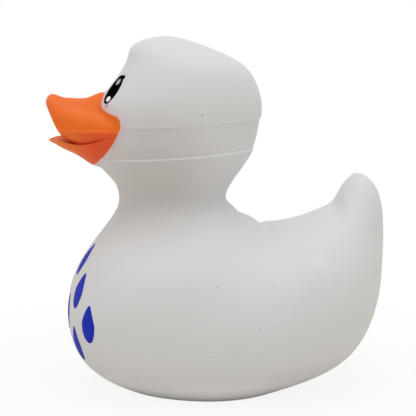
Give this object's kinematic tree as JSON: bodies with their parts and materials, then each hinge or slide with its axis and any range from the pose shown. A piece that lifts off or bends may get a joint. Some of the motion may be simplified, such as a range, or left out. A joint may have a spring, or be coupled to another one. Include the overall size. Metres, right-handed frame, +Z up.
{
  "type": "rubber duck",
  "caption": "Hollow soft vinyl bath duck with an open, upturned bill, a cocked tail and a flat base that it stands on.",
  "frame": {"origin": "on the plane that the duck stands on, under the middle of its length and width", "axes": "+Z up from the base to the crown, -Y the way the duck looks, X across it"},
  "size_m": [0.0664, 0.0814, 0.0836],
  "materials": {
    "white_vinyl": "soft vinyl with a satin, slightly translucent skin; bill, eyes and breast feathers sprayed and printed in orange, black and blue"
  },
  "bodies": {
    "root": {"duck": "white_vinyl"}
  },
  "joints": []
}
